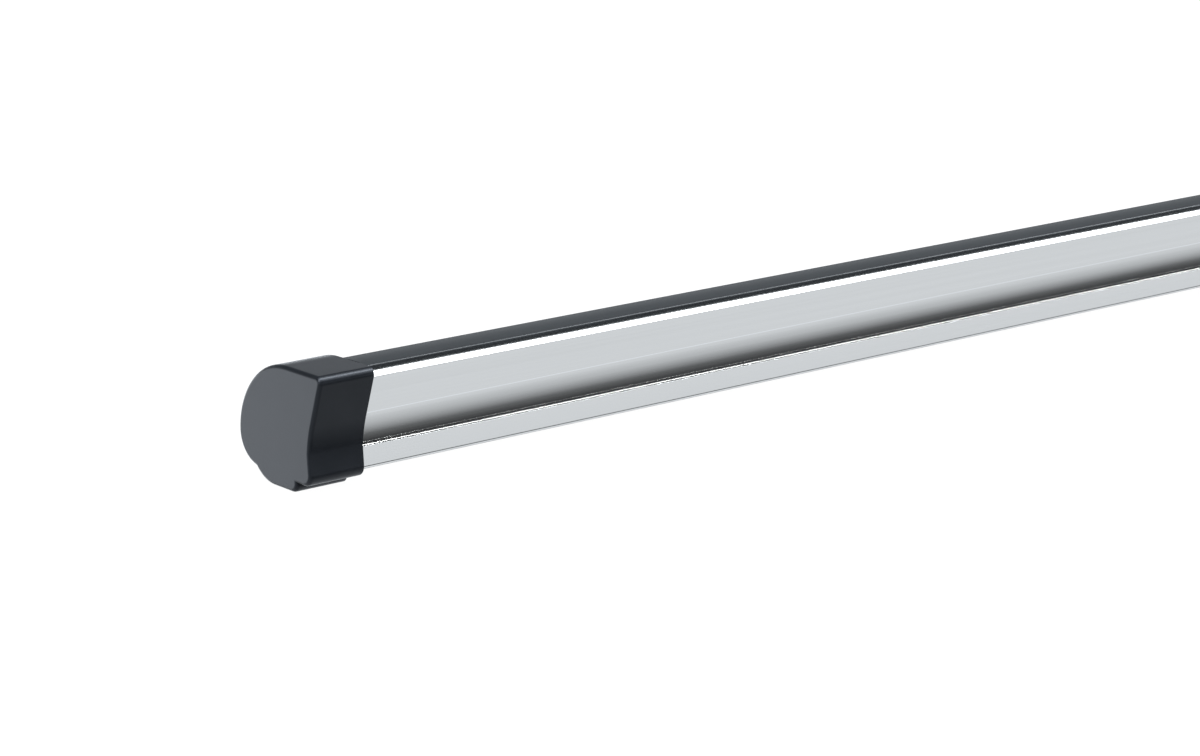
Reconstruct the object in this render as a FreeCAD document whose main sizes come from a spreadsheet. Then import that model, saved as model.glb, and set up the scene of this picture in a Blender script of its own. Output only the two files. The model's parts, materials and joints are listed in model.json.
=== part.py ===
import FreeCAD, Part
import os

import Sketcher

# Roof rack crossbar: a hollow extruded bar with a round nose and a hollowed rear wall, a rubber
# strip that closes the slot in its top, and a moulded cap pushed on each end.
# X runs along the bar, +Y points to the round nose, +Z is up. The origin is at the bottom centre
# of the whole, on the plane that the soles of the two caps stand on. All sizes are in millimetres.

# Driving sizes, in millimetres and degrees
SIZES = [
    ("bar_length", 1200, "extrusion, end to end"),
    ("bar_height", 42.2, "extrusion, foot lips to top lips"),
    ("bar_wall", 2, "wall of the extrusion"),
    ("rear_place", -23.65, "Y of the rear wall's upper edge"),
    ("bevel_width", 2.45, "bevel along the rear top edge, seen from above"),
    ("bevel_drop", 2.05, "height of that bevel"),
    ("lean_angle", 18.5, "lean of the upper rear wall"),
    ("lean_drop", 14.5, "height of the leaning wall"),
    ("hollow_radius", 50, "concave stretch below the leaning wall"),
    ("hollow_drop", 11.6, "height of that stretch, down to the groove"),
    ("groove_height", 1.45, "groove above the rear flange"),
    ("groove_depth", 1.5, "depth of that groove"),
    ("groove_edge", 0.3, "broken edge under the groove"),
    ("flare_angle", 4, "outward flare of the rear flange"),
    ("flange_lift", 3.85, "underside of the bar above its foot lips"),
    ("flange_round", 1.1, "lower corner of the rear flange"),
    ("nose_start", -4.6, "Y where the flat top ends"),
    ("nose_reach", 24.1, "Y of the foremost point of the nose"),
    ("nose_level", 14.95, "that point above the foot lips"),
    ("nose_turn", 68, "turn of the nose's flatter upper stretch"),
    ("heel_radius", 10, "lower stretch of the nose"),
    ("belly_angle", 18, "slope of the underside behind the nose"),
    ("slot_place", -13.3, "Y of the accessory slot and its strip"),
    ("slot_mouth", 8.6, "mouth of the accessory slot"),
    ("slot_width", 13.6, "accessory slot, for an M8 hexagon head"),
    ("slot_height", 6, "height of the accessory slot"),
    ("slot_lip", 2, "lips of the accessory slot"),
    ("foot_back", 20.9, "middle of the foot channel behind the nose's foremost point"),
    ("foot_mouth", 8.6, "mouth of the foot channel"),
    ("foot_width", 13.6, "foot channel, for an M8 hexagon head"),
    ("foot_height", 6, "height of the foot channel"),
    ("foot_lip", 2.6, "lips of the foot channel"),
    ("foot_radius", 12.75, "round front of the foot channel"),
    ("foot_round_lead", 1.4, "that round's centre ahead of the channel's middle"),
    ("strip_width", 15.8, "rubber strip, seen from above"),
    ("strip_edge", 0.8, "rounded edges of the strip"),
    ("strip_rise", 2.3, "strip's top above the bar's top lips"),
    ("strip_crown", 0.35, "dip of the strip's top at its edges"),
    ("strip_gap", 0.3, "strip end to cap"),
    ("stem_gap", 0.1, "strip's stem to the lips"),
    ("barb_reach", 1.3, "barb beyond the lip's edge"),
    ("barb_height", 1.5, "height of a barb"),
    ("barb_root", 0.6, "blunt edge of a barb"),
    ("stem_slit", 2.4, "hollow that lets the stem squeeze"),
    ("cap_length", 24.2, "cap, end face to inner edge"),
    ("cap_wall", 2.2, "wall of the cap's skirt"),
    ("cap_gap", 0.15, "clearance between bar and cap"),
    ("cap_corner", 2.6, "rounded rear top edge of the cap"),
    ("cap_flange_corner", 3.2, "rounded rear lower edge of the cap"),
    ("cap_inner_corner", 0.5, "rounded corners inside the skirt"),
    ("cap_edge", 1.6, "rounded edge of the end face"),
    ("end_wall", 3, "end wall of the cap"),
    ("end_gap", 0.2, "bar end to end wall"),
    ("sole_place", -10.6, "Y of the sole's rear wall"),
    ("sole_corner", 2.5, "rounded rear edge of the sole"),
    ("sole_length", 22.6, "sole of the cap, from the end face"),
    ("rib_length", 16, "reach of the plug ribs into the bar"),
    ("rib_wall", 2, "thickness of a plug rib"),
    ("rib_gap", 0.2, "clearance round the plug ribs"),
    ("rib_lead", 0.6, "lead-in bevel of the plug ribs"),
    ("front_rib_place", 8, "Y of the upright rib in the nose"),
    ("front_rib_lift", 27, "Z of the level rib in the nose"),
    ("rear_rib_lift", 21, "Z of the level rib behind the web"),
    ("groove_backing", 1.8, "wall behind the groove"),
]

# Sizes worked out from the driving ones, as cell formulas
WORKED_OUT = [
    ("bar_base", "cap_wall + cap_gap"),
    ("bar_top", "bar_base + bar_height"),
    ("front_z", "bar_base + nose_level"),
    ("nose_depth", "nose_reach - nose_start"),
    ("nose_drop", "bar_top - front_z"),
    ("turn_spare", "sin(nose_turn) + cos(nose_turn) - 1"),
    ("nose_radius", "(nose_depth * cos(nose_turn) - nose_drop * (1 - sin(nose_turn))) / turn_spare"),
    ("front_radius", "(nose_drop * sin(nose_turn) - nose_depth * (1 - cos(nose_turn))) / turn_spare"),
    ("nose_z", "bar_top - nose_radius"),
    ("front_y", "nose_reach - front_radius"),
    ("heel_end", "180 - belly_angle"),
    ("heel_y", "nose_reach - heel_radius"),
    ("foot_place", "nose_reach - foot_back"),
    ("foot_round_place", "foot_place + foot_round_lead"),
    ("foot_round_z", "bar_base + foot_radius"),
    ("belly_along", "(heel_y - foot_round_place) * cos(belly_angle)"
                    " + (front_z - foot_round_z) * sin(belly_angle)"),
    ("belly_across", "(heel_y - foot_round_place) * sin(belly_angle)"
                     " - (front_z - foot_round_z) * cos(belly_angle)"),
    ("bevel_z", "bar_top - bevel_drop"),
    ("lean_end_y", "rear_place + lean_drop * tan(lean_angle)"),
    ("lean_end_z", "bevel_z - lean_drop"),
    ("hollow_y", "lean_end_y - hollow_radius * cos(lean_angle)"),
    ("hollow_z", "lean_end_z - hollow_radius * sin(lean_angle)"),
    ("groove_z", "lean_end_z - hollow_drop"),
    ("groove_y", "hollow_y + sqrt(hollow_radius^2 - (groove_z - hollow_z)^2)"),
    ("flange_z", "bar_base + flange_lift"),
    ("slot_roof", "bar_top - slot_lip"),
    ("slot_floor", "slot_roof - slot_height"),
    ("foot_floor", "bar_base + foot_lip"),
    ("foot_roof", "foot_floor + foot_height"),
    ("web_front", "foot_place - foot_width / 2"),
    ("web_rear", "web_front - bar_wall"),
    ("backing_y", "groove_y + groove_depth + groove_backing"),
    ("rear_rib_place", "(backing_y + web_rear) / 2"),
    ("bar_end", "bar_length / 2"),
    ("cap_end", "bar_end + end_gap + end_wall"),
    ("skirt_end", "cap_end - cap_length"),
]

SHEET = "Sizes"
FIRST_ROW = 2

doc = FreeCAD.newDocument("roof_rack_crossbar")
sheet = doc.addObject("Spreadsheet::Sheet", SHEET)
sheet.set("A1", "name")
sheet.set("B1", "value")
sheet.set("C1", "what it sets")
row = FIRST_ROW
for name, value, words in SIZES:
    sheet.set(f"A{row}", name)
    sheet.set(f"B{row}", str(value))
    sheet.setAlias(f"B{row}", name)
    sheet.set(f"C{row}", words)
    row += 1
for name, formula in WORKED_OUT:
    sheet.set(f"A{row}", name)
    sheet.setAlias(f"B{row}", name)
    sheet.set(f"B{row}", "=" + formula)
    row += 1
doc.recompute()

ALIASES = [entry[0] for entry in SIZES + WORKED_OUT]


def linked(formula):
    """A formula in plain aliases, written so that an object outside the sheet can use it."""
    words = []
    word = ""
    for letter in formula + " ":
        if letter.isalnum() or letter == "_":
            word += letter
            continue
        words.append(f"{SHEET}.{word}" if word in ALIASES else word)
        words.append(letter)
        word = ""
    return "".join(words).strip()


def size(formula):
    """The number that a formula in the sheet's aliases comes to."""
    return float(sheet.evalExpression(formula))


def polar(centre_y, centre_z, radius, angle):
    """A point on an arc, its angle turned from +Z towards +Y, as two formulas."""
    return (f"{centre_y} + ({radius}) * sin({angle})", f"{centre_z} + ({radius}) * cos({angle})")


def line(to_y, to_z):
    """A straight stretch of an outline, up to the point given by two formulas."""
    return {"to": (str(to_y), str(to_z)), "radius": None, "left": True}


def arc(to, radius, left):
    """A round stretch up to a point, with its centre to the left or right of the way."""
    return {"to": to, "radius": radius, "left": left}


def plane_of(body, role):
    for feature in body.Origin.OriginFeatures:
        if feature.Role == role:
            return feature
    raise ValueError(role)


def arc_between(start, end, radius, left):
    """The shorter arc from start to end, and whether it runs counter-clockwise."""
    chord = end - start
    half = chord.Length / 2
    reach = (radius ** 2 - half ** 2) ** 0.5
    side = FreeCAD.Vector(-chord.y, chord.x, 0)
    side.normalize()
    centre = (start + end) / 2 + side * (reach if left else -reach)
    circle = Part.Circle(centre, FreeCAD.Vector(0, 0, 1), radius)
    first, last = (start, end) if left else (end, start)
    return Part.ArcOfCircle(circle, circle.parameter(first), circle.parameter(last))


def bind(sketch, constraint, formula):
    """Add a dimension to a sketch and tie it to a formula in the sheet."""
    number = sketch.addConstraint(constraint)
    sketch.setExpression(f"Constraints[{number}]", linked(formula))


def draw(sketch, outline):
    """Draw a closed outline whose every corner and radius is tied to the sheet."""
    points = [FreeCAD.Vector(size(part["to"][0]), size(part["to"][1]), 0) for part in outline]
    first = sketch.GeometryCount
    starts = []
    ends = []
    for number, part in enumerate(outline):
        start = points[number - 1]
        end = points[number]
        if part["radius"] is None:
            sketch.addGeometry(Part.LineSegment(start, end), False)
            starts.append(1)
            ends.append(2)
            continue
        radius = size(part["radius"])
        geometry = sketch.addGeometry(arc_between(start, end, radius, part["left"]), False)
        starts.append(1 if part["left"] else 2)
        ends.append(2 if part["left"] else 1)
        bind(sketch, Sketcher.Constraint("Radius", geometry, radius), part["radius"])
    for number, part in enumerate(outline):
        this = first + number
        following = (number + 1) % len(outline)
        sketch.addConstraint(Sketcher.Constraint(
            "Coincident", this, ends[number], first + following, starts[following]))
        for kind, value, formula in (("DistanceX", points[number].x, part["to"][0]),
                                     ("DistanceY", points[number].y, part["to"][1])):
            bind(sketch, Sketcher.Constraint(kind, -1, 1, this, ends[number], value), formula)


def section_sketch(body, name, outlines, place="0"):
    """A sketch across the bar, at a place along X, holding one or more closed outlines."""
    sketch = body.newObject("Sketcher::SketchObject", name)
    sketch.AttachmentSupport = [(plane_of(body, "YZ_Plane"), "")]
    sketch.MapMode = "FlatFace"
    sketch.setExpression("AttachmentOffset.Base.z", linked(place))
    for outline in outlines:
        draw(sketch, outline)
    doc.recompute()
    return sketch


def pad(body, name, sketch, length, backwards=False, middle=False):
    feature = body.newObject("PartDesign::Pad", name)
    feature.Profile = sketch
    feature.setExpression("Length", linked(length))
    feature.Midplane = middle
    feature.Reversed = backwards
    doc.recompute()
    return feature


def pocket(body, name, sketch, length, backwards=False, middle=False):
    """Cut a sketch out of a body, and make sure that it took something away."""
    before = body.Tip.Shape.Volume
    feature = body.newObject("PartDesign::Pocket", name)
    feature.Profile = sketch
    feature.setExpression("Length", linked(length))
    feature.Midplane = middle
    feature.Reversed = backwards
    doc.recompute()
    if not feature.Shape.Volume < before:
        raise ValueError(name + " cuts nothing")
    return feature


def round_edges(body, name, radius, chosen, kind="PartDesign::Fillet"):
    """Round or bevel the edges of the body so far that the test picks out."""
    base = body.Tip
    names = [f"Edge{number + 1}" for number, edge in enumerate(base.Shape.Edges) if chosen(edge)]
    feature = body.newObject(kind, name)
    feature.Base = (base, names)
    feature.setExpression("Radius" if kind.endswith("Fillet") else "Size", linked(radius))
    doc.recompute()
    return feature


NEAR = 0.01


def on_plane_x(edge, place):
    """Whether an edge lies wholly in the plane X = place."""
    box = edge.BoundBox
    return abs(box.XMin - place) < NEAR and abs(box.XMax - place) < NEAR


def nose(grow):
    """The nose from the underside's start at the foot channel up to the flat top.

    The outline stands off the bar's own surface by the formula grow."""
    foot = f"foot_radius + ({grow})"
    heel = f"heel_radius + ({grow})"
    along = f"sqrt(({foot})^2 - (belly_across + {heel})^2) - belly_along"
    heel_low = polar("heel_y", "front_z", heel, "heel_end")
    notch_y = f"{heel_low[0]} + ({along}) * cos(belly_angle)"
    notch_z = f"{heel_low[1]} + ({along}) * sin(belly_angle)"
    return [
        arc((notch_y, notch_z), foot, True),
        line(*heel_low),
        arc((f"nose_reach + ({grow})", "front_z"), heel, True),
        arc(polar("front_y", "front_z", f"front_radius + ({grow})", "nose_turn"),
            f"front_radius + ({grow})", True),
        arc(("nose_start", f"bar_top + ({grow})"), f"nose_radius + ({grow})", True),
    ]


def corner_on_lean(radius, grow):
    """Centre of the rounded rear top edge of an outline that stands off the bar by grow."""
    z = f"bar_top + ({grow}) - ({radius})"
    y = (f"rear_place + (bevel_z - ({z})) * tan(lean_angle)"
         f" - (({grow}) - ({radius})) / cos(lean_angle)")
    return y, z


def corner_on_flange(radius, grow):
    """Centre of the rounded lower rear edge of an outline that stands off the bar by grow."""
    z = f"flange_z - ({grow}) + ({radius})"
    y = (f"groove_y - (groove_z - ({z})) * tan(flare_angle)"
         f" - (({grow}) - ({radius})) / cos(flare_angle)")
    return y, z


def cap_outline(grow, top_corner, flange_corner, sole_wall, sole_corner):
    """The cap's outline: the bar's own shape, plainer at the rear, with a deeper sole."""
    top_y, top_z = corner_on_lean(top_corner, grow)
    low_y, low_z = corner_on_flange(flange_corner, grow)
    hollow = f"hollow_radius - ({grow})"
    lean_end = (f"hollow_y + ({hollow}) * cos(lean_angle)",
                f"hollow_z + ({hollow}) * sin(lean_angle)")
    hollow_end = (f"hollow_y + sqrt(({hollow})^2 - (groove_z - hollow_z)^2)", "groove_z")
    sole_z = f"bar_base - ({grow})"
    return [
        line(top_y, f"bar_top + ({grow})"),
        arc((f"{top_y} - ({top_corner}) * cos(lean_angle)",
             f"{top_z} - ({top_corner}) * sin(lean_angle)"), top_corner, True),
        line(*lean_end),
        arc(hollow_end, hollow, False),
        line(f"{low_y} - ({flange_corner}) * cos(flare_angle)",
             f"{low_z} + ({flange_corner}) * sin(flare_angle)"),
        arc((low_y, f"flange_z - ({grow})"), flange_corner, True),
        line(sole_wall, f"flange_z - ({grow})"),
        line(sole_wall, f"{sole_z} + ({sole_corner})"),
        arc((f"{sole_wall} + ({sole_corner})", sole_z), sole_corner, True),
        line("foot_round_place", sole_z),
    ] + nose(grow)


# Bar: one length of hollow aluminium extrusion
def bar_outline():
    """The extrusion's outer line, with its two slots and the groove above the rear flange."""
    low_y, low_z = corner_on_flange("flange_round", "0")
    groove_low = "groove_z - groove_height"
    edge_low = f"{groove_low} - groove_edge"
    rear_at_edge = "groove_y - (groove_height + groove_edge) * tan(flare_angle)"
    groove_back = "groove_y + groove_depth"
    foot_rear = "foot_place - foot_mouth / 2"
    foot_front = "foot_place + foot_mouth / 2"
    slot_rear = "slot_place - slot_mouth / 2"
    slot_front = "slot_place + slot_mouth / 2"
    lip_low = f"foot_round_z - sqrt(foot_radius^2 - ({foot_front} - foot_round_place)^2)"
    return [
        line("rear_place + bevel_width", "bar_top"),
        line("rear_place", "bevel_z"),
        line("lean_end_y", "lean_end_z"),
        arc(("groove_y", "groove_z"), "hollow_radius", False),
        line(groove_back, "groove_z"),
        line(groove_back, groove_low),
        line(f"{rear_at_edge} + groove_edge", groove_low),
        line(rear_at_edge, edge_low),
        line(f"{low_y} - flange_round * cos(flare_angle)",
             f"{low_z} + flange_round * sin(flare_angle)"),
        arc((low_y, "flange_z"), "flange_round", True),
        line("web_rear", "flange_z"),
        line("web_rear", "bar_base"),
        line(foot_rear, "bar_base"),
        line(foot_rear, "foot_floor"),
        line("foot_place - foot_width / 2", "foot_floor"),
        line("foot_place - foot_width / 2", "foot_roof"),
        line("foot_place + foot_width / 2", "foot_roof"),
        line("foot_place + foot_width / 2", "foot_floor"),
        line(foot_front, "foot_floor"),
        line(foot_front, lip_low),
    ] + nose("0") + [
        line(slot_front, "bar_top"),
        line(slot_front, "slot_roof"),
        line("slot_place + slot_width / 2", "slot_roof"),
        line("slot_place + slot_width / 2", "slot_floor"),
        line("slot_place - slot_width / 2", "slot_floor"),
        line("slot_place - slot_width / 2", "slot_roof"),
        line(slot_rear, "slot_roof"),
        line(slot_rear, "bar_top"),
    ]


def nose_chamber():
    """The large hollow between the web, the nose and the foot channel."""
    shrink = "-bar_wall"
    heel = f"heel_radius + ({shrink})"
    foot_front = "foot_place + foot_width / 2 + bar_wall"
    heel_low = polar("heel_y", "front_z", heel, "heel_end")
    along = f"({foot_front} - ({heel_low[0]})) * tan(belly_angle)"
    roof = f"nose_radius + ({shrink})"
    web_top = f"nose_z + sqrt(({roof})^2 - (web_front - nose_start)^2)"
    return [
        line("web_front", "foot_roof + bar_wall"),
        line(foot_front, "foot_roof + bar_wall"),
        line(foot_front, f"{heel_low[1]} + {along}"),
        line(*heel_low),
    ] + nose(shrink)[2:-1] + [
        arc(("web_front", web_top), roof, True),
    ]


def rear_chamber():
    """The hollow under the accessory slot, between the rear wall and the web."""
    top_z = "slot_floor - bar_wall"
    top_y = f"rear_place + (bevel_z - ({top_z})) * tan(lean_angle) + bar_wall / cos(lean_angle)"
    return [
        line(top_y, top_z),
        line("lean_end_y + bar_wall * cos(lean_angle)", "lean_end_z + bar_wall * sin(lean_angle)"),
        line("backing_y", "groove_z + groove_backing"),
        line("backing_y", "flange_z + bar_wall"),
        line("web_rear", "flange_z + bar_wall"),
        line("web_rear", top_z),
    ]


bar = doc.addObject("PartDesign::Body", "bar_profile")
bar_section = section_sketch(bar, "bar_section", [bar_outline()])
pad(bar, "bar_extrusion", bar_section, "bar_length", middle=True)
chambers = section_sketch(bar, "chamber_section", [nose_chamber(), rear_chamber()])
pocket(bar, "bar_chambers", chambers, "bar_length", middle=True)


# Strip: one length of rubber whose barbed stem snaps between the slot's lips
def strip_outline():
    """The strip's section: a low crowned plate over the lips, on a split stem with two barbs."""
    half = "strip_width / 2"
    stem = "slot_mouth / 2 - stem_gap"
    barb = f"{stem} + barb_reach"
    lip = "slot_roof - stem_gap"
    low = f"{lip} - barb_height"
    top = "bar_top + strip_rise"
    shoulder = f"{top} - strip_crown"
    crown = f"(({half} - strip_edge)^2 + strip_crown^2) / (2 * strip_crown)"
    slit = "stem_slit / 2"
    slit_top = "bar_top"

    def at(offset):
        return f"slot_place + ({offset})"

    return [
        arc((at(f"strip_edge - {half}"), shoulder), crown, True),
        arc((at(f"-{half}"), f"{shoulder} - strip_edge"), "strip_edge", True),
        line(at(f"-{half}"), "bar_top"),
        line(at(f"-({stem})"), "bar_top"),
        line(at(f"-({stem})"), lip),
        line(at(f"-({barb})"), lip),
        line(at(f"-({barb})"), f"{lip} - barb_root"),
        line(at(f"-({stem})"), low),
        line(at(f"-{slit}"), low),
        line(at(f"-{slit}"), slit_top),
        line(at(slit), slit_top),
        line(at(slit), low),
        line(at(stem), low),
        line(at(barb), f"{lip} - barb_root"),
        line(at(barb), lip),
        line(at(stem), lip),
        line(at(stem), "bar_top"),
        line(at(half), "bar_top"),
        line(at(half), f"{shoulder} - strip_edge"),
        arc((at(f"{half} - strip_edge"), shoulder), "strip_edge", True),
        arc((at("0"), top), crown, True),
    ]


strip = doc.addObject("PartDesign::Body", "top_strip")
strip_section = section_sketch(strip, "strip_section", [strip_outline()])
pad(strip, "strip_extrusion", strip_section, "2 * (skirt_end - strip_gap)", middle=True)


# Caps: one moulded cap for each end, a skirt over the bar and ribs that grip its chambers
def cross(middle_y, middle_z, low_y, high_y, low_z, high_z):
    """A cross of two plug ribs, its arms reaching to four given places."""
    half = "rib_wall / 2"
    return [
        line(low_y, f"{middle_z} - {half}"),
        line(f"{middle_y} - {half}", f"{middle_z} - {half}"),
        line(f"{middle_y} - {half}", low_z),
        line(f"{middle_y} + {half}", low_z),
        line(f"{middle_y} + {half}", f"{middle_z} - {half}"),
        line(high_y, f"{middle_z} - {half}"),
        line(high_y, f"{middle_z} + {half}"),
        line(f"{middle_y} + {half}", f"{middle_z} + {half}"),
        line(f"{middle_y} + {half}", high_z),
        line(f"{middle_y} - {half}", high_z),
        line(f"{middle_y} - {half}", f"{middle_z} + {half}"),
        line(low_y, f"{middle_z} + {half}"),
    ]


def front_ribs():
    """The cross in the nose chamber, its arms ending just short of the chamber's walls."""
    inside = "nose_radius - bar_wall - rib_gap"
    level_top = "front_rib_lift + rib_wall / 2"
    upright_front = "front_rib_place + rib_wall / 2"
    return cross("front_rib_place", "front_rib_lift",
                 "web_front + rib_gap",
                 f"nose_start + sqrt(({inside})^2 - ({level_top} - nose_z)^2)",
                 "foot_roof + bar_wall + rib_gap",
                 f"nose_z + sqrt(({inside})^2 - ({upright_front} - nose_start)^2)")


def rear_ribs():
    """The cross behind the web, under the accessory slot."""
    return cross("rear_rib_place", "rear_rib_lift",
                 "backing_y + rib_gap",
                 "web_rear - rib_gap",
                 "flange_z + bar_wall + rib_gap",
                 "slot_floor - bar_wall - rib_gap")


def sole_relief():
    """What is cut away behind the sole, so that the skirt's inner end leaves the foot channel free."""
    below = "bar_base - cap_gap - 2 * cap_wall"
    rear = "sole_place - cap_wall"
    flange = "flange_z - cap_gap - cap_wall"
    outer_notch = nose("cap_gap + cap_wall")[0]["to"]
    inner_notch = nose("cap_gap")[0]["to"]
    return [
        line(rear, below),
        line(outer_notch[0], below),
        line(*outer_notch),
        line(*inner_notch),
        line("web_rear - cap_gap", inner_notch[1]),
        line("web_rear - cap_gap", flange),
        line(rear, flange),
    ]


def end_cap(label, sign):
    """A cap for the end of the bar on the side of X that sign gives."""
    body = doc.addObject("PartDesign::Body", label)
    outward = sign > 0
    skirt = section_sketch(body, label + "_skirt", [cap_outline(
        "cap_gap + cap_wall", "cap_corner", "cap_flange_corner", "sole_place", "sole_corner")],
        f"{sign} * skirt_end")
    pad(body, label + "_shell", skirt, "cap_length", backwards=not outward)

    hollow = section_sketch(body, label + "_hollow", [cap_outline(
        "cap_gap", "cap_inner_corner", "cap_inner_corner",
        "sole_place + cap_wall", "cap_inner_corner")],
        f"{sign} * skirt_end")
    pocket(body, label + "_socket", hollow, "cap_length - end_wall", backwards=outward)

    relief = section_sketch(body, label + "_relief", [sole_relief()], f"{sign} * skirt_end")
    pocket(body, label + "_sole_relief", relief, "cap_length - sole_length", backwards=outward)

    outer_face = sign * size("cap_end")
    round_edges(body, label + "_end_edge", "cap_edge", lambda edge: on_plane_x(edge, outer_face))

    ribs = section_sketch(body, label + "_ribs", [front_ribs(), rear_ribs()],
                          f"{sign} * (bar_end + end_gap)")
    pad(body, label + "_plug", ribs, "end_gap + rib_length", backwards=outward)
    rib_tip = sign * size("bar_end - rib_length")
    round_edges(body, label + "_lead_in", "rib_lead",
                lambda edge: on_plane_x(edge, rib_tip), "PartDesign::Chamfer")
    return body


left_cap = end_cap("end_cap_left", -1)
right_cap = end_cap("end_cap_right", 1)

# Check every object, then write each sub-part to its own file
parts = [bar, strip, left_cap, right_cap]
doc.recompute()
for item in doc.Objects:
    if "Invalid" in item.State or "Error" in item.State:
        raise ValueError(item.Name + " failed to build")
os.makedirs("parts", exist_ok=True)
for body in parts:
    shape = body.Shape
    if shape.isNull() or not shape.isValid():
        raise ValueError(body.Label + " has no valid shape")
    shape.exportStep(os.path.join("parts", body.Label + ".step"))
    box = shape.BoundBox
    print(body.Label, "solids", len(shape.Solids), "volume", round(shape.Volume),
          "X", round(box.XMin, 2), round(box.XMax, 2), "Y", round(box.YMin, 2), round(box.YMax, 2),
          "Z", round(box.ZMin, 2), round(box.ZMax, 2))
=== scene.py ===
import json
import math

import bmesh
import bpy
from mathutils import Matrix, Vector

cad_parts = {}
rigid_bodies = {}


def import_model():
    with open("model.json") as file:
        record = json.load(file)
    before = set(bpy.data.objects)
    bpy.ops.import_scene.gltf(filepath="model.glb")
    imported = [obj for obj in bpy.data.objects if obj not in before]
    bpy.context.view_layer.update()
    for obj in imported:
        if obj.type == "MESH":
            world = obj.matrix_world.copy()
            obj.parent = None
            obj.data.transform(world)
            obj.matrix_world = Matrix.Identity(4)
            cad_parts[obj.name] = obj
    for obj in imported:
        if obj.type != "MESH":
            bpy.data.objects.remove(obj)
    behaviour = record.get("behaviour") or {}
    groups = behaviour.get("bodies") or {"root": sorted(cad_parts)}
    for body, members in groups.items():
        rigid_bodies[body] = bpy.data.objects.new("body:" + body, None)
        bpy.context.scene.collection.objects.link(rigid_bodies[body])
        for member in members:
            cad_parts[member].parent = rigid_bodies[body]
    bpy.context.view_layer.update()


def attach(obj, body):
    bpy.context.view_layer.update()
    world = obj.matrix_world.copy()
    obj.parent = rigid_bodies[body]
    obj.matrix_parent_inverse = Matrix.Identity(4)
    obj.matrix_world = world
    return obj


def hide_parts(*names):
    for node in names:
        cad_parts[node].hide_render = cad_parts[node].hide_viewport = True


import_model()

# Roof rack crossbar: a satin anodised aluminium extrusion with a black rubber strip in its top
# slot and a black moulded cap on each end. X runs along the bar, +Y to its round nose, +Z up.

# ---------------------------------------------------------------------------------------------
# Camera
# A long lens low behind the bar's left end, looking along and down on it. Its place and turn
# come from the vanishing lines of the bar and of the cap's end face.
# ---------------------------------------------------------------------------------------------
camera_data = bpy.data.cameras.new("camera")
camera_data.lens = 97.964
camera_data.sensor_width = 36
camera_data.clip_start = 0.05
camera = bpy.data.objects.new("camera", camera_data)
camera.location = (-1.2502, -0.95705, 0.33607)
camera.rotation_euler = [math.radians(angle) for angle in (75.632, 0, -39.882)]
bpy.context.scene.collection.objects.link(camera)
bpy.context.scene.camera = camera
bpy.context.scene.view_settings.view_transform = "Standard"

# ---------------------------------------------------------------------------------------------
# Studio
# A white table top in a room of long plain screens parallel to the bar, each a few degrees wide
# round it. The metal mirrors them as bands that run along it: pale ones from below and from the
# horizon, dark ones between, and a bright one high behind the bar that lights up its edges.
# ---------------------------------------------------------------------------------------------


def linear(hex_colour):
    """An sRGB hex colour as the linear values that a shader socket takes."""
    shares = [int(hex_colour[place:place + 2], 16) / 255 for place in (1, 3, 5)]
    return [share / 12.92 if share <= 0.04045 else ((share + 0.055) / 1.055) ** 2.4
            for share in shares] + [1]


def add_node(tree, kind, settings=(), values=(), links=()):
    """Add a node to a tree, with its settings, socket values and incoming links."""
    node = tree.nodes.new(kind)
    for name, value in dict(settings).items():
        setattr(node, name, value)
    for name, value in dict(values).items():
        node.inputs[name].default_value = value
    for name, source in dict(links).items():
        tree.links.new(source, node.inputs[name])
    return node


world = bpy.data.worlds.new("studio")
bpy.context.scene.world = world
world.use_nodes = True
tree = world.node_tree
tree.nodes.clear()
direction = add_node(tree, "ShaderNodeTexCoord").outputs["Generated"]
parts = add_node(tree, "ShaderNodeSeparateXYZ", links={"Vector": direction})
behind = add_node(tree, "ShaderNodeMath", {"operation": "MULTIPLY"}, {1: -1.0},
                  {0: parts.outputs["Y"]})
around = add_node(tree, "ShaderNodeMath", {"operation": "ARCTAN2"}, (),
                  {0: parts.outputs["Z"], 1: behind.outputs["Value"]})
turn = add_node(tree, "ShaderNodeMapRange", values={"From Min": -math.pi, "From Max": math.pi},
                links={"Value": around.outputs["Value"]})
# Degrees round the bar, where 0 is the horizon behind it and 90 overhead, and the brightness
# there. It changes evenly from each to the next.
screens = [
    (-180, 2.70), (-154, 2.70), (-146, 0.90), (-90, 0.80), (-60, 0.77), (-54.5, 0.765),
    (-51, 0.67), (-46, 0.56), (-43, 0.46), (-40, 0.34), (-37, 0.20), (-34, 0.07),
    (-31.5, 0.01), (-15.5, 0.01), (-12.5, 0.83), (-4, 0.83), (2, 0.12), (10, 0.02), (28, 0.05),
    (36, 2.00), (44, 2.20), (60, 2.20), (65, 14.0), (78, 14.0), (85, 3.00), (97, 1.60),
    (105, 0.14), (144, 0.08), (156, 0.33), (164, 0.40), (172, 0.75)]
brightest = 14.0
cool_white = (0.95, 1.0, 1.05)
ramp = add_node(tree, "ShaderNodeValToRGB", links={"Fac": turn.outputs["Result"]})
elements = ramp.color_ramp.elements
while len(elements) < len(screens):
    elements.new(1.0)
for element, (degrees, grey) in zip(elements, screens):
    element.position = (degrees + 180) / 360
    element.color = [grey * part / brightest for part in cool_white] + [1]
room_light = add_node(tree, "ShaderNodeBackground", values={"Strength": brightest},
                      links={"Color": ramp.outputs["Color"]})
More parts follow.
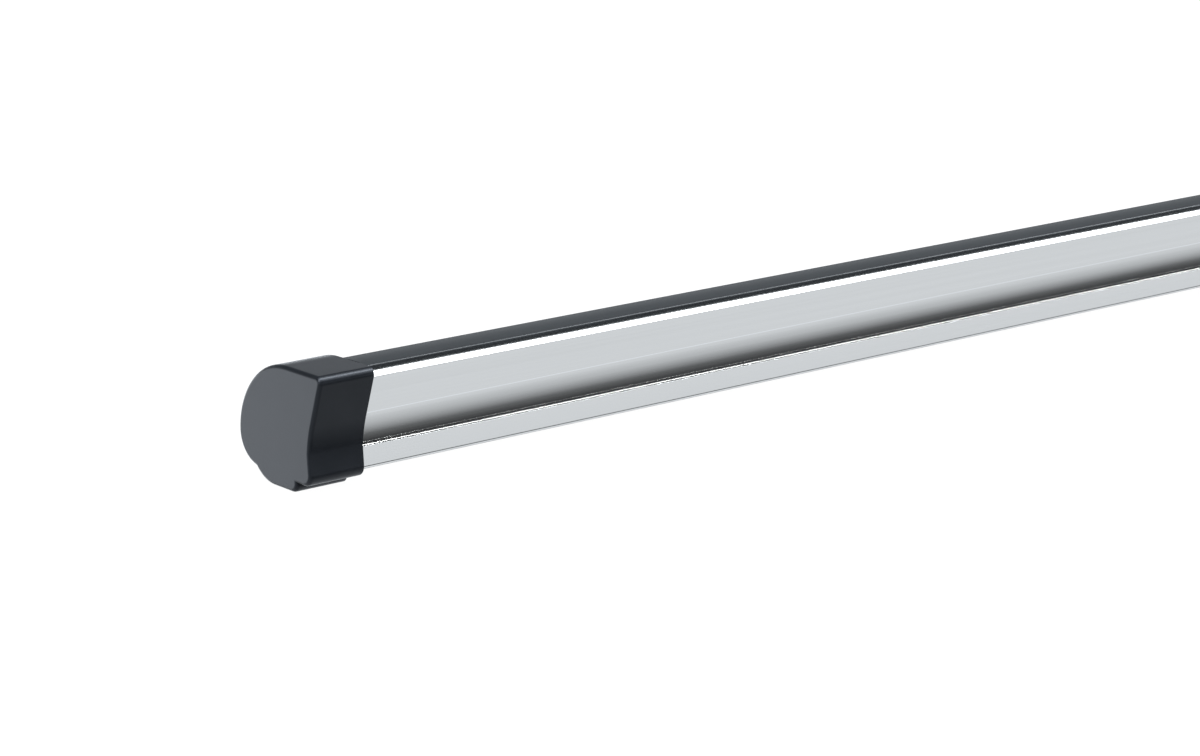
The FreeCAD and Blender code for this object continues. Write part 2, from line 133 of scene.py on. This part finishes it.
# The camera itself sees plain white where there is no object.
white = add_node(tree, "ShaderNodeBackground", values={"Color": (1, 1, 1, 1), "Strength": 1.0})
seen = add_node(tree, "ShaderNodeLightPath").outputs["Is Camera Ray"]
both = add_node(tree, "ShaderNodeMixShader", links={"Fac": seen})
tree.links.new(room_light.outputs["Background"], both.inputs[1])
tree.links.new(white.outputs["Background"], both.inputs[2])
add_node(tree, "ShaderNodeOutputWorld", links={"Surface": both.outputs["Shader"]})

table_width = 24
bpy.ops.object.select_all(action="DESELECT")
bpy.ops.mesh.primitive_plane_add(size=table_width)
table_top = bpy.context.object
table_top.name = "table_top"
table_top.visible_glossy = False

# A pale lacquer, which the camera sees as nearly all white. From below the table top is clear.
whiteness, white_share = 1.1, 0.9
table_paint = bpy.data.materials.new("white_table_lacquer")
table_paint.use_nodes = True
tree = table_paint.node_tree
tree.nodes.clear()
glow = add_node(tree, "ShaderNodeEmission", values={"Color": (1, 1, 1, 1), "Strength": whiteness})
paint = add_node(tree, "ShaderNodeBsdfDiffuse", values={"Color": linear("#A8A8A8")})
light_path = add_node(tree, "ShaderNodeLightPath").outputs["Is Camera Ray"]
share = add_node(tree, "ShaderNodeMath", {"operation": "MULTIPLY"}, {1: white_share},
                 {0: light_path})
top = add_node(tree, "ShaderNodeMixShader", links={"Fac": share.outputs["Value"]})
tree.links.new(paint.outputs["BSDF"], top.inputs[1])
tree.links.new(glow.outputs["Emission"], top.inputs[2])
below = add_node(tree, "ShaderNodeNewGeometry").outputs["Backfacing"]
clear = add_node(tree, "ShaderNodeBsdfTransparent")
table_mix = add_node(tree, "ShaderNodeMixShader", links={"Fac": below})
tree.links.new(top.outputs["Shader"], table_mix.inputs[1])
tree.links.new(clear.outputs["BSDF"], table_mix.inputs[2])
add_node(tree, "ShaderNodeOutputMaterial", links={"Surface": table_mix.outputs["Shader"]})
table_top.data.materials.append(table_paint)

# ---------------------------------------------------------------------------------------------
# Bar
# One length of aluminium pushed through a die: a hollowed rear wall with a bevel and a groove,
# a round nose, an accessory slot on top, a channel for the feet below and two hollow chambers.
# It is cut to length and satin anodised.
# ---------------------------------------------------------------------------------------------
MM = 0.001
# A curve is drawn in steps of at most this turn. Where its sides meet at less than the second
# angle, an outline has a corner, and a fold of less than the third is shaded smooth.
STROKE_TURN = math.radians(4)
BLUNTEST_CORNER = math.radians(160)
SMOOTHED_FOLD = math.radians(28)


def to_centre(start, end, radius):
    """Centre of the shorter curve between two points; a negative radius bends to the right."""
    along = end - start
    middle = (start + end) / 2
    reach = math.sqrt(radius ** 2 - (along.length / 2) ** 2)
    left = Vector((-along.y, along.x)).normalized()
    return middle + left * math.copysign(reach, radius)


def draw_outline(x, start, strokes, rounding):
    """Draw a closed outline across the bar as with a pen, and fill it with one face.

    Points are Y and Z in millimetres. A stroke is the point that it goes to, with the radius
    after it for a curve. Sharp corners are rounded off by the size given last."""
    bpy.ops.mesh.select_all(action="DESELECT")
    bpy.ops.mesh.primitive_plane_add(size=MM)
    bpy.ops.mesh.merge(type="CENTER")
    bpy.ops.transform.translate(value=(x * MM, start[0] * MM, start[1] * MM))
    pen = Vector(start)
    for stroke in strokes:
        point = Vector(stroke[:2])
        if len(stroke) == 2:
            step = (point - pen) * MM
            bpy.ops.mesh.extrude_region_move(TRANSFORM_OT_translate={"value": (0, *step)})
        else:
            centre = to_centre(pen, point, stroke[2])
            turn = (point - centre).angle(pen - centre)
            bpy.ops.mesh.spin(steps=max(2, math.ceil(turn / STROKE_TURN)),
                              angle=math.copysign(turn, -stroke[2]),
                              center=(x * MM, centre.x * MM, centre.y * MM), axis=(1, 0, 0))
        pen = point
    bpy.ops.mesh.select_linked()
    bpy.ops.mesh.remove_doubles(threshold=0.001 * MM)
    bpy.ops.mesh.edge_face_add()
    if not rounding:
        return
    mesh = bmesh.from_edit_mesh(bpy.context.object.data)
    loop = [vertex for vertex in mesh.verts if vertex.select]
    bpy.ops.mesh.select_all(action="DESELECT")
    for vertex in loop:
        first, second = [edge.other_vert(vertex).co - vertex.co for edge in vertex.link_edges]
        vertex.select = first.angle(second) < BLUNTEST_CORNER
    bmesh.update_edit_mesh(bpy.context.object.data)
    bpy.ops.mesh.bevel(offset=rounding * MM, segments=3, affect="VERTICES")
    bpy.ops.mesh.select_linked()


def new_piece(name):
    """Start an empty mesh object in edit mode."""
    piece = bpy.data.objects.new(name, bpy.data.meshes.new(name))
    bpy.context.scene.collection.objects.link(piece)
    bpy.ops.object.select_all(action="DESELECT")
    bpy.context.view_layer.objects.active = piece
    piece.select_set(True)
    bpy.ops.object.mode_set(mode="EDIT")
    bpy.ops.mesh.select_mode(type="VERT")
    return piece


def push(length):
    """Push the selected face along the bar, to a solid."""
    bpy.ops.mesh.extrude_region_move(TRANSFORM_OT_translate={"value": (length * MM, 0, 0)})
    bpy.ops.mesh.select_linked()
    bpy.ops.mesh.normals_make_consistent(inside=False)


def smooth(piece):
    """Leave edit mode and shade all but the real edges smooth, with the flat faces kept flat."""
    bpy.ops.object.mode_set(mode="OBJECT")
    bpy.ops.object.shade_smooth_by_angle(angle=SMOOTHED_FOLD)
    weighted = piece.modifiers.new("weighted", "WEIGHTED_NORMAL")
    weighted.keep_sharp = True
    bpy.ops.object.modifier_apply(modifier="weighted")


def on_circle(centre_y, centre_z, radius, degrees):
    """A point on a circle, its angle turned from straight up towards the nose."""
    angle = math.radians(degrees)
    return (centre_y + radius * math.sin(angle), centre_z + radius * math.cos(angle))


# Sizes in millimetres and turns in degrees. First the heights of the section's foot and flat top,
# its wall and the bar's end; then, down the rear, the bevel, the leaning wall, the hollow and the
# flared flange.
base, crest, wall, bar_end = 2.35, 44.55, 2, 600
rear, bevel_width, bevel_drop, bevel_round = -23.65, 1.6, 2.05, 1.75
lean, lean_drop, hollow, hollow_drop = 18.5, 14.5, 50, 11.6
flare, flange_floor = 4, 6.2
# The middles of the accessory slot and the foot channel, with the mouth and width of both.
slot, foot_slot, mouth, channel = -13.3, 3.2, 8.6, 13.6
# The round front of the foot channel, then the nose from the flat top down to heel and belly.
foot_round, foot_round_y = 12.75, 4.6
nose_start, nose_reach, nose_height, nose_turn = -4.6, 24.1, 17.3, 68
heel, belly = 10, 18

sine, cosine = math.sin(math.radians(nose_turn)), math.cos(math.radians(nose_turn))
spare = sine + cosine - 1
nose_depth, nose_drop = nose_reach - nose_start, crest - nose_height
brow = (nose_depth * cosine - nose_drop * (1 - sine)) / spare
cheek = (nose_drop * sine - nose_depth * (1 - cosine)) / spare
foot_round_z = base + foot_round
heel_y = nose_reach - heel
rear_slope = math.tan(math.radians(lean))
lean_end = (rear + lean_drop * rear_slope, crest - bevel_drop - lean_drop)
hollow_centre = on_circle(*lean_end, -hollow, 90 - lean)
slope, rise = math.cos(math.radians(belly)), math.sin(math.radians(belly))
groove_z = lean_end[1] - hollow_drop


def nose_strokes(grow):
    """From the front of the foot channel round the nose to the flat top, off the bar by grow."""
    foot = foot_round + grow
    low = on_circle(heel_y, nose_height, heel + grow, 180 - belly)
    across = (heel_y - foot_round_y) * rise - (nose_height - foot_round_z) * slope + heel + grow
    along = (math.sqrt(foot ** 2 - across ** 2)
             - (heel_y - foot_round_y) * slope - (nose_height - foot_round_z) * rise)
    return [
        (low[0] + along * slope, low[1] + along * rise, foot),
        low,
        (nose_reach + grow, nose_height, heel + grow),
        (*on_circle(nose_reach - cheek, nose_height, cheek + grow, nose_turn), cheek + grow),
        (nose_start, crest + grow, brow + grow),
    ]


def on_rear(radius, grow):
    """Centre of a rounded rear top edge, off the leaning wall and the top by grow."""
    z = crest + grow - radius
    return (rear + (crest - bevel_drop - z) * rear_slope
            - (grow - radius) / math.cos(math.radians(lean)), z)


def on_hollow(grow):
    """The lower end of the hollowed stretch, at the groove's height, off the bar by grow."""
    curve = hollow - grow
    above = groove_z - hollow_centre[1]
    return hollow_centre[0] + math.sqrt(curve ** 2 - above ** 2), groove_z


def on_flange(radius, grow):
    """Centre of the rounded lower rear edge, off the flared flange by grow."""
    turn = math.radians(flare)
    z = flange_floor - grow + radius
    return (on_hollow(0)[0] - (groove_z - z) * math.tan(turn)
            - (grow - radius) / math.cos(turn), z)


groove_depth, groove_height, groove_edge = 1.5, 1.65, 0.05
groove_back = on_hollow(0)[0] + groove_depth
edge_y = on_hollow(0)[0] - (groove_height + groove_edge) * math.tan(math.radians(flare))
flange_round = 1.1
flange_corner = on_flange(flange_round, 0)
web_rear, web_front = foot_slot - channel / 2 - wall, foot_slot - channel / 2
foot_lip, slot_lip, slot_depth = 2.6, 2, 6
foot_roof = base + foot_lip + slot_depth
slot_roof, slot_floor = crest - slot_lip, crest - slot_lip - slot_depth
lip_end = (foot_slot + mouth / 2,
           foot_round_z - math.sqrt(foot_round ** 2 - (foot_slot + mouth / 2 - foot_round_y) ** 2))

bevel_turn = math.atan2(bevel_drop, bevel_width)
bevel_lead = bevel_round * math.tan(bevel_turn / 2)
arris, front_chamber_corner, rear_chamber_corner, groove_wall = 0.1, 1.0, 0.6, 1.8

bar = new_piece("bar_extrusion")
draw_outline(-bar_end, (slot - mouth / 2, crest), [
    (rear + bevel_width + bevel_lead, crest),
    (rear + bevel_width - bevel_lead * math.cos(bevel_turn),
     crest - bevel_lead * math.sin(bevel_turn), bevel_round),
    (rear, crest - bevel_drop),
    lean_end,
    (*on_hollow(0), -hollow),
    (groove_back, groove_z),
    (groove_back, groove_z - groove_height),
    (edge_y + groove_edge, groove_z - groove_height),
    (edge_y, groove_z - groove_height - groove_edge, groove_edge),
    on_circle(*flange_corner, flange_round, flare - 90),
    (flange_corner[0], flange_floor, flange_round),
    (web_rear, flange_floor),
    (web_rear, base),
    (foot_slot - mouth / 2, base),
    (foot_slot - mouth / 2, base + foot_lip),
    (web_front, base + foot_lip),
    (web_front, foot_roof),
    (web_front + channel, foot_roof),
    (web_front + channel, base + foot_lip),
    (lip_end[0], base + foot_lip),
    lip_end,
    *nose_strokes(0),
    (slot + mouth / 2, crest),
    (slot + mouth / 2, slot_roof),
    (slot + channel / 2, slot_roof),
    (slot + channel / 2, slot_floor),
    (slot - channel / 2, slot_floor),
    (slot - channel / 2, slot_roof),
    (slot - mouth / 2, slot_roof),
    (slot - mouth / 2, crest),
], arris)
bpy.ops.mesh.delete(type="ONLY_FACE")

chamber_front = web_front + channel + wall
chamber_low = on_circle(heel_y, nose_height, heel - wall, 180 - belly)
chamber_floor = (chamber_front,
                 chamber_low[1] + (chamber_front - chamber_low[0]) * math.tan(math.radians(belly)))
brow_z = crest - brow
web_top = brow_z + math.sqrt((brow - wall) ** 2 - (web_front - nose_start) ** 2)
draw_outline(-bar_end, (web_front, foot_roof + wall), [
    (chamber_front, foot_roof + wall),
    chamber_floor,
    *nose_strokes(-wall)[1:-1],
    (web_front, web_top, brow - wall),
    (web_front, foot_roof + wall),
], front_chamber_corner)
bpy.ops.mesh.delete(type="ONLY_FACE")

chamber_top = slot_floor - wall
backing_y = groove_back + groove_wall
draw_outline(-bar_end, (web_rear, chamber_top), [
    (rear + (crest - bevel_drop - chamber_top) * rear_slope + wall / math.cos(math.radians(lean)),
     chamber_top),
    (lean_end[0] + wall * math.cos(math.radians(lean)),
     lean_end[1] + wall * math.sin(math.radians(lean))),
    (backing_y, groove_z + groove_wall),
    (backing_y, flange_floor + wall),
    (web_rear, flange_floor + wall),
    (web_rear, chamber_top),
], rear_chamber_corner)
bpy.ops.mesh.delete(type="ONLY_FACE")
bpy.ops.mesh.select_all(action="SELECT")
bpy.ops.mesh.fill(use_beauty=False)
push(2 * bar_end)
smooth(bar)


def per_mm(size):
    """Scale of a pattern on Object coordinates, whose features are size millimetres apart."""
    return 1 / (size * MM)


def new_material(name):
    """A material with its shader and an Object coordinate to draw patterns on."""
    material = bpy.data.materials.new(name)
    material.use_nodes = True
    tree = material.node_tree
    tree.nodes.clear()
    shader = add_node(tree, "ShaderNodeBsdfPrincipled")
    add_node(tree, "ShaderNodeOutputMaterial", links={"Surface": shader.outputs["BSDF"]})
    place = add_node(tree, "ShaderNodeTexCoord").outputs["Object"]
    return material, tree, shader, place


# Satin anodised aluminium: bright and slightly milky, with die lines drawn out along the bar
# that blur its reflections across and hardly at all lengthwise.
streak_spacing, line_spacing = 1.6, 0.35
anodised, tree, shader, place = new_material("satin_anodised_aluminium")
shader.inputs["Metallic"].default_value = 1.0
along_bar = 0.004
drawn_out = add_node(tree, "ShaderNodeMapping", values={"Scale": (along_bar, 1, 1)},
                     links={"Vector": place}).outputs["Vector"]
streaks = add_node(tree, "ShaderNodeTexNoise",
                   values={"Scale": per_mm(streak_spacing), "Detail": 4.0},
                   links={"Vector": drawn_out}).outputs["Fac"]
tone = add_node(tree, "ShaderNodeValToRGB", links={"Fac": streaks})
tone.color_ramp.elements[0].position = 0.3
tone.color_ramp.elements[0].color = linear("#ECEBE9")
tone.color_ramp.elements[1].position = 0.7
tone.color_ramp.elements[1].color = linear("#F1F0EE")
# A fine bright line is painted into the metal's colour where the leaning wall meets the hollowed
# stretch: a painted highlight that stands for the light caught by the crease between them.
line_half, rear_face = 0.14, -17
at = add_node(tree, "ShaderNodeSeparateXYZ", links={"Vector": place})
at_line = add_node(tree, "ShaderNodeMath", {"operation": "COMPARE"},
                   {1: lean_end[1] * MM, 2: line_half * MM}, {0: at.outputs["Z"]})
at_rear = add_node(tree, "ShaderNodeMath", {"operation": "LESS_THAN"}, {1: rear_face * MM},
                   {0: at.outputs["Y"]})
painted_crease_highlight = add_node(tree, "ShaderNodeMath", {"operation": "MULTIPLY"}, (),
                    {0: at_line.outputs["Value"], 1: at_rear.outputs["Value"]})
# This node's colour sockets are reached by their place, because others share their names.
first_colour, second_colour, mixed_colour = 6, 7, 2
# The metal's tone turns white along that line, which is the painted highlight.
metal = add_node(tree, "ShaderNodeMix", {"data_type": "RGBA"},
                 {second_colour: linear("#FFFFFF")},
                 {"Factor": painted_crease_highlight.outputs["Value"], first_colour: tone.outputs["Color"]})
tree.links.new(metal.outputs[mixed_colour], shader.inputs["Base Color"])
dull = add_node(tree, "ShaderNodeMapRange", values={"To Min": 0.10, "To Max": 0.15},
                links={"Value": streaks})
tree.links.new(dull.outputs["Result"], shader.inputs["Roughness"])
lines = add_node(tree, "ShaderNodeTexNoise",
                 values={"Scale": per_mm(line_spacing), "Detail": 2.0},
                 links={"Vector": drawn_out}).outputs["Fac"]
relief = add_node(tree, "ShaderNodeBump", values={"Strength": 0.15, "Distance": 0.01 * MM},
                  links={"Height": lines})
tree.links.new(relief.outputs["Normal"], shader.inputs["Normal"])
bar.data.materials.append(anodised)
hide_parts("bar_profile")
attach(bar, "bar")

# ---------------------------------------------------------------------------------------------
# Strip
# One length of black EPDM rubber, extruded with a low crown and a split stem, whose two barbs
# snap under the lips of the accessory slot. It closes the slot and carries the load.
# ---------------------------------------------------------------------------------------------
strip_half, strip_rise, strip_edge, crown_dip, strip_end = 7.9, 2.3, 0.8, 0.35, 578.7
stem, barb_reach, barb_height, barb_root, barb_play, slit = 4.2, 1.3, 1.5, 0.6, 0.1, 1.2
strip_top = crest + strip_rise
shoulder = strip_top - crown_dip
crown = ((strip_half - strip_edge) ** 2 + crown_dip ** 2) / (2 * crown_dip)
catch = slot_roof - barb_play
strip_arris = 0.12

strip = new_piece("rubber_strip")
right_half = [
    (slot + slit, crest),
    (slot + slit, catch - barb_height),
    (slot + stem, catch - barb_height),
    (slot + stem + barb_reach, catch - barb_root),
    (slot + stem + barb_reach, catch),
    (slot + stem, catch),
    (slot + stem, crest),
    (slot + strip_half, crest),
    (slot + strip_half, shoulder - strip_edge),
    (slot + strip_half - strip_edge, shoulder, strip_edge),
    (slot + strip_edge - strip_half, shoulder, crown),
    (slot - strip_half, shoulder - strip_edge, strip_edge),
]
left_half = [(2 * slot - y, z) for y, z in reversed([stroke[:2] for stroke in right_half[:8]])]
draw_outline(-strip_end, left_half[-1], right_half + left_half, strip_arris)
push(2 * strip_end)
smooth(strip)

# EPDM rubber, extruded: dull black with a soft sheen and faint lines along its length.
streak_spacing, grain_spacing = 0.8, 0.4
rubber, tree, shader, place = new_material("extruded_epdm_rubber")
shader.inputs["IOR"].default_value = 1.5
shader.inputs["Specular IOR Level"].default_value = 0.3
along_strip = 0.02
drawn_out = add_node(tree, "ShaderNodeMapping", values={"Scale": (along_strip, 1, 1)},
                     links={"Vector": place}).outputs["Vector"]
streaks = add_node(tree, "ShaderNodeTexNoise",
                   values={"Scale": per_mm(streak_spacing), "Detail": 3.0},
                   links={"Vector": drawn_out}).outputs["Fac"]
tone = add_node(tree, "ShaderNodeValToRGB", links={"Fac": streaks})
tone.color_ramp.elements[0].position = 0.3
tone.color_ramp.elements[0].color = linear("#181A1C")
tone.color_ramp.elements[1].position = 0.7
tone.color_ramp.elements[1].color = linear("#1D2022")
tree.links.new(tone.outputs["Color"], shader.inputs["Base Color"])
dull = add_node(tree, "ShaderNodeMapRange", values={"To Min": 0.32, "To Max": 0.40},
                links={"Value": streaks})
tree.links.new(dull.outputs["Result"], shader.inputs["Roughness"])
fine = add_node(tree, "ShaderNodeTexNoise",
                values={"Scale": per_mm(grain_spacing), "Detail": 2.0},
                links={"Vector": place}).outputs["Fac"]
relief = add_node(tree, "ShaderNodeBump", values={"Strength": 0.3, "Distance": 0.02 * MM},
                  links={"Height": fine})
tree.links.new(relief.outputs["Normal"], shader.inputs["Normal"])
strip.data.materials.append(rubber)
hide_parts("top_strip")
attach(strip, "bar")

# ---------------------------------------------------------------------------------------------
# End caps
# Each is one injection moulding of black plastic: a skirt over the bar's end, a flat end wall
# with a rounded edge, a sole over the foot channel, and two crosses of plug ribs inside that
# grip the bar's chambers. The cap is pushed on by hand.
# ---------------------------------------------------------------------------------------------
skin, play, cap_end, skirt_end, end_wall = 2.2, 0.15, 603.2, 579, 3
end_round, rim_round = 1.6, 0.25
sole_rear, sole_length, sole_below = -10.6, 22.6, -3


def cap_strokes(grow, sole_wall, top_round, flange_edge, sole_corner):
    """The cap's outline, off the bar by grow, with its sole and its three rear corners."""
    top = on_rear(top_round, grow)
    low = on_flange(flange_edge, grow)
    return [
        (top[0], crest + grow),
        (*on_circle(*top, top_round, -90 - lean), top_round),
        on_circle(*hollow_centre, hollow - grow, 90 - lean),
        (*on_hollow(grow), grow - hollow),
        on_circle(*low, flange_edge, flare - 90),
        (low[0], flange_floor - grow, flange_edge),
        (sole_wall, flange_floor - grow),
        (sole_wall, base - grow + sole_corner),
        (sole_wall + sole_corner, base - grow, sole_corner),
        (foot_round_y, base - grow),
        *nose_strokes(grow),
    ]


def select_end(x):
    """Select the edges of the mesh that lie wholly in one plane across the bar."""
    mesh = bmesh.from_edit_mesh(bpy.context.object.data)
    bpy.ops.mesh.select_all(action="DESELECT")
    bpy.ops.mesh.select_mode(type="EDGE")
    for edge in mesh.edges:
        edge.select = all(abs(vertex.co.x - x * MM) < 0.01 * MM for vertex in edge.verts)
    bmesh.update_edit_mesh(bpy.context.object.data)


def combine(piece, other, operation):
    """Cut another solid out of a piece, or join it on, and throw the other away."""
    joined = piece.modifiers.new("combine", "BOOLEAN")
    joined.object = other
    joined.operation = operation
    joined.solver = "EXACT"
    bpy.ops.object.select_all(action="DESELECT")
    bpy.context.view_layer.objects.active = piece
    piece.select_set(True)
    bpy.ops.object.modifier_apply(modifier="combine")
    bpy.data.objects.remove(other)


left_cap = new_piece("left_end_cap")
outline = cap_strokes(play + skin, sole_rear, top_round=2.6, flange_edge=4.5, sole_corner=3.6)
draw_outline(-cap_end, outline[-1][:2], outline, 0)
push(cap_end - skirt_end)
select_end(-cap_end)
bpy.ops.mesh.bevel(offset=end_round * MM, segments=6, affect="EDGES", clamp_overlap=False)
bpy.ops.object.mode_set(mode="OBJECT")

# The sole ends short of the skirt, so a block is cut out under the skirt's last stretch. Its
# front wall stands a hair behind the notch where the sole's curve meets the belly's, and it runs
# on past the skirt's rim.
hair, past_rim = 0.02, 1
notch_out = nose_strokes(play + skin)[0][:2]
notch_in = nose_strokes(play)[0][:2]
sole_gap = new_piece("sole_gap")
draw_outline(sole_length - cap_end, (sole_rear - skin, sole_below), [
    (notch_out[0] - hair, sole_below),
    (notch_out[0] - hair, notch_out[1]),
    (notch_in[0] - hair, notch_in[1]),
    (web_rear - play, notch_in[1]),
    (web_rear - play, flange_floor - play - skin),
    (sole_rear - skin, flange_floor - play - skin),
    (sole_rear - skin, sole_below),
], 0)
push(cap_end - sole_length - skirt_end + past_rim)
bpy.ops.object.mode_set(mode="OBJECT")
combine(left_cap, sole_gap, "DIFFERENCE")

bpy.ops.object.mode_set(mode="EDIT")
select_end(-skirt_end)
bpy.ops.mesh.bevel(offset=rim_round * MM, segments=2, affect="EDGES", clamp_overlap=False)
bpy.ops.object.mode_set(mode="OBJECT")
socket = new_piece("socket")
outline = cap_strokes(play, sole_rear + skin, top_round=0.5, flange_edge=1.2, sole_corner=0.5)
draw_outline(end_wall - cap_end, outline[-1][:2], outline, 0)
push(cap_end - skirt_end)
bpy.ops.object.mode_set(mode="OBJECT")
combine(left_cap, socket, "DIFFERENCE")


# The plug ribs: half their thickness, their clearance in the chambers, where they start inside
# the end wall and end inside the bar, and the slope round their tips that leads them in.
rib_half, rib_play, rib_root, rib_tip, rib_lead = 1, 0.2, 1, 584, 0.6


def cross_strokes(middle, low, high):
    """A cross of two ribs, whose arms reach from the low to the high Y and Z."""
    return [
        (low[0], middle[1] - rib_half),
        (middle[0] - rib_half, middle[1] - rib_half),
        (middle[0] - rib_half, low[1]),
        (middle[0] + rib_half, low[1]),
        (middle[0] + rib_half, middle[1] - rib_half),
        (high[0], middle[1] - rib_half),
        (high[0], middle[1] + rib_half),
        (middle[0] + rib_half, middle[1] + rib_half),
        (middle[0] + rib_half, high[1]),
        (middle[0] - rib_half, high[1]),
        (middle[0] - rib_half, middle[1] + rib_half),
        (low[0], middle[1] + rib_half),
    ]


inside = brow - wall - rib_play
front_middle, rear_middle = (8, 27), ((backing_y + web_rear) / 2, 21)
front_cross = cross_strokes(
    front_middle,
    (web_front + rib_play, foot_roof + wall + rib_play),
    (nose_start + math.sqrt(inside ** 2 - (front_middle[1] + rib_half - brow_z) ** 2),
     brow_z + math.sqrt(inside ** 2 - (front_middle[0] + rib_half - nose_start) ** 2)))
rear_cross = cross_strokes(
    rear_middle,
    (backing_y + rib_play, flange_floor + wall + rib_play),
    (web_rear - rib_play, chamber_top - rib_play))
for cross in (front_cross, rear_cross):
    ribs = new_piece("ribs")
    draw_outline(rib_root - cap_end, cross[-1], cross, 0)
    push(cap_end - rib_tip - rib_root)
    select_end(-rib_tip)
    bpy.ops.mesh.bevel(offset=rib_lead * MM, segments=1, affect="EDGES", clamp_overlap=False)
    bpy.ops.object.mode_set(mode="OBJECT")
    combine(left_cap, ribs, "UNION")

bpy.ops.object.select_all(action="DESELECT")
right_cap = left_cap.copy()
right_cap.data = left_cap.data.copy()
right_cap.name = "right_end_cap"
bpy.context.scene.collection.objects.link(right_cap)
bpy.context.view_layer.objects.active = right_cap
right_cap.select_set(True)
bpy.ops.object.mode_set(mode="EDIT")
bpy.ops.mesh.select_all(action="SELECT")
bpy.ops.transform.resize(value=(-1, 1, 1), center_override=(0, 0, 0))
bpy.ops.mesh.normals_make_consistent(inside=False)
smooth(right_cap)
right_cap.select_set(False)
bpy.context.view_layer.objects.active = left_cap
left_cap.select_set(True)
smooth(left_cap)

# Impact-modified polypropylene, moulded in a finely spark-eroded tool: charcoal black with an
# even, leathery grain that breaks up the light and keeps a soft sheen on the rounded edges.
grain_spacing, cloud_spacing = 0.5, 12
moulded, tree, shader, place = new_material("grained_black_polypropylene")
shader.inputs["IOR"].default_value = 1.49
shader.inputs["Specular IOR Level"].default_value = 0.28
shader.inputs["Specular Tint"].default_value = linear("#EFF4FF")
grain = add_node(tree, "ShaderNodeTexNoise",
                 values={"Scale": per_mm(grain_spacing), "Detail": 2.0},
                 links={"Vector": place}).outputs["Fac"]
cloud = add_node(tree, "ShaderNodeTexNoise",
                 values={"Scale": per_mm(cloud_spacing), "Detail": 2.0},
                 links={"Vector": place}).outputs["Fac"]
tone = add_node(tree, "ShaderNodeValToRGB", links={"Fac": cloud})
tone.color_ramp.elements[0].position = 0.3
tone.color_ramp.elements[0].color = linear("#101215")
tone.color_ramp.elements[1].position = 0.7
tone.color_ramp.elements[1].color = linear("#141619")
tree.links.new(tone.outputs["Color"], shader.inputs["Base Color"])
dull = add_node(tree, "ShaderNodeMapRange", values={"To Min": 0.29, "To Max": 0.34},
                links={"Value": grain})
tree.links.new(dull.outputs["Result"], shader.inputs["Roughness"])
relief = add_node(tree, "ShaderNodeBump", values={"Strength": 0.3, "Distance": 0.04 * MM},
                  links={"Height": grain})
tree.links.new(relief.outputs["Normal"], shader.inputs["Normal"])
left_cap.data.materials.append(moulded)
right_cap.data.materials.append(moulded)

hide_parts("end_cap_left")
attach(left_cap, "left_cap")
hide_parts("end_cap_right")
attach(right_cap, "right_cap")
